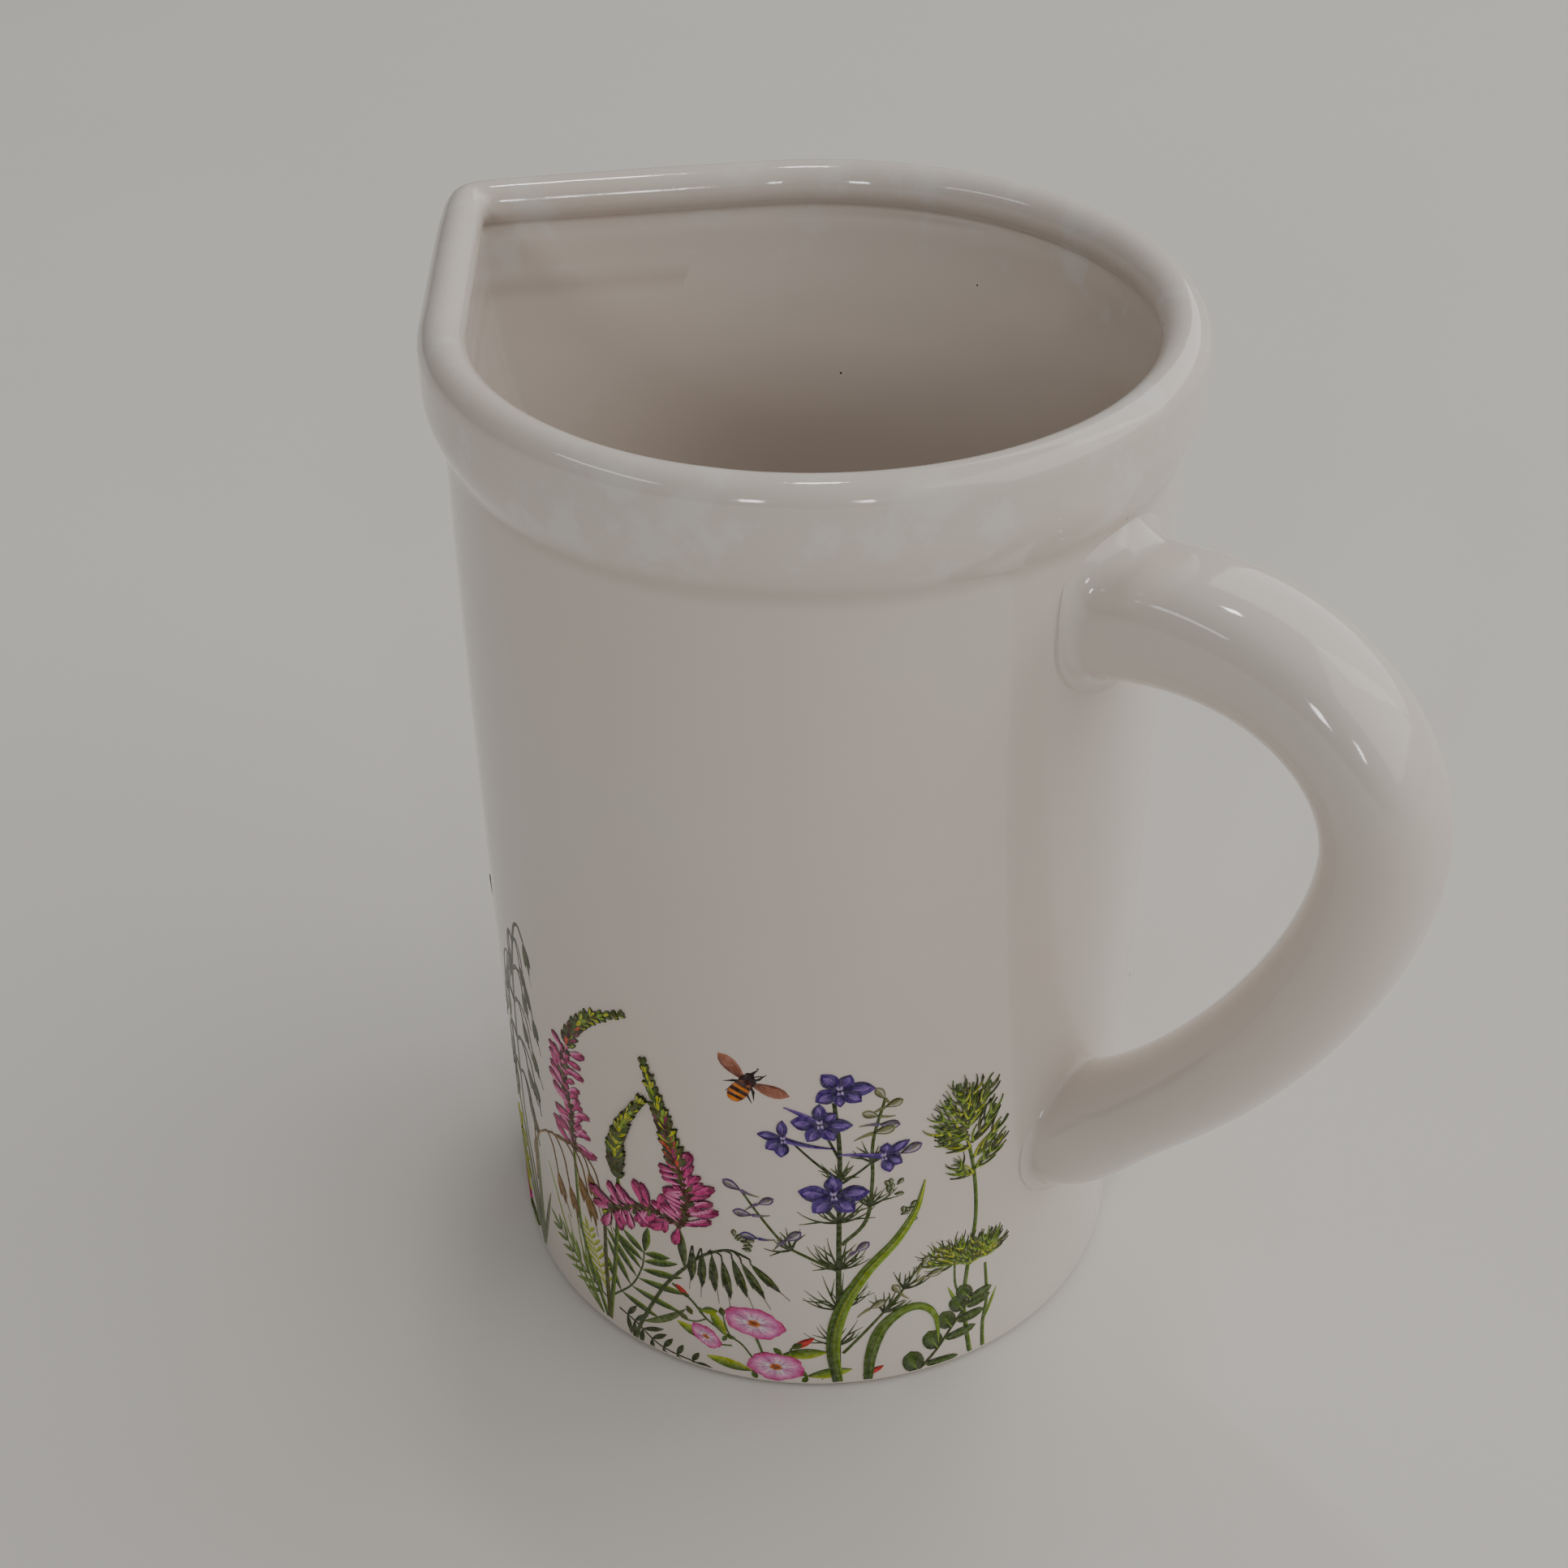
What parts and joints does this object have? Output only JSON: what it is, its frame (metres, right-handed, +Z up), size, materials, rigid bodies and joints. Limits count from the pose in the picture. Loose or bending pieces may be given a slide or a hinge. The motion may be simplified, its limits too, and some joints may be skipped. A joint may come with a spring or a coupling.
{
  "type": "ceramic pitcher",
  "caption": "Tall glazed ceramic pitcher: near-straight barrel, thick rolled rim pinched into a spout, loop handle opposite, and a wild-flower and bee print round the lower half.",
  "frame": {"origin": "centre of the overall box, on the table plane; the barrel's own axis stands 19.9 mm from it towards the spout", "axes": "+Z up, +X towards the handle, -X towards the spout, +Y across; the XZ plane is the plane of symmetry of the body"},
  "size_m": [0.211, 0.133, 0.2],
  "materials": {
    "white_glaze": "glossy off-white glaze over white earthenware",
    "bare_clay": "unglazed, wiped and rubbed smooth",
    "printed_transfer": "coloured print fired into the glaze, glossy"
  },
  "bodies": {
    "root": {"barrel_wall": "white_glaze", "floor_disc": "white_glaze", "foot_ring": "bare_clay", "rim_band": "white_glaze", "handle": "white_glaze", "upper_handle_joint": "white_glaze", "lower_handle_joint": "white_glaze", "flower_transfer_front": "printed_transfer", "flower_transfer_back": "printed_transfer", "bee_transfer_front": "printed_transfer", "bee_transfer_back": "printed_transfer"}
  },
  "joints": []
}
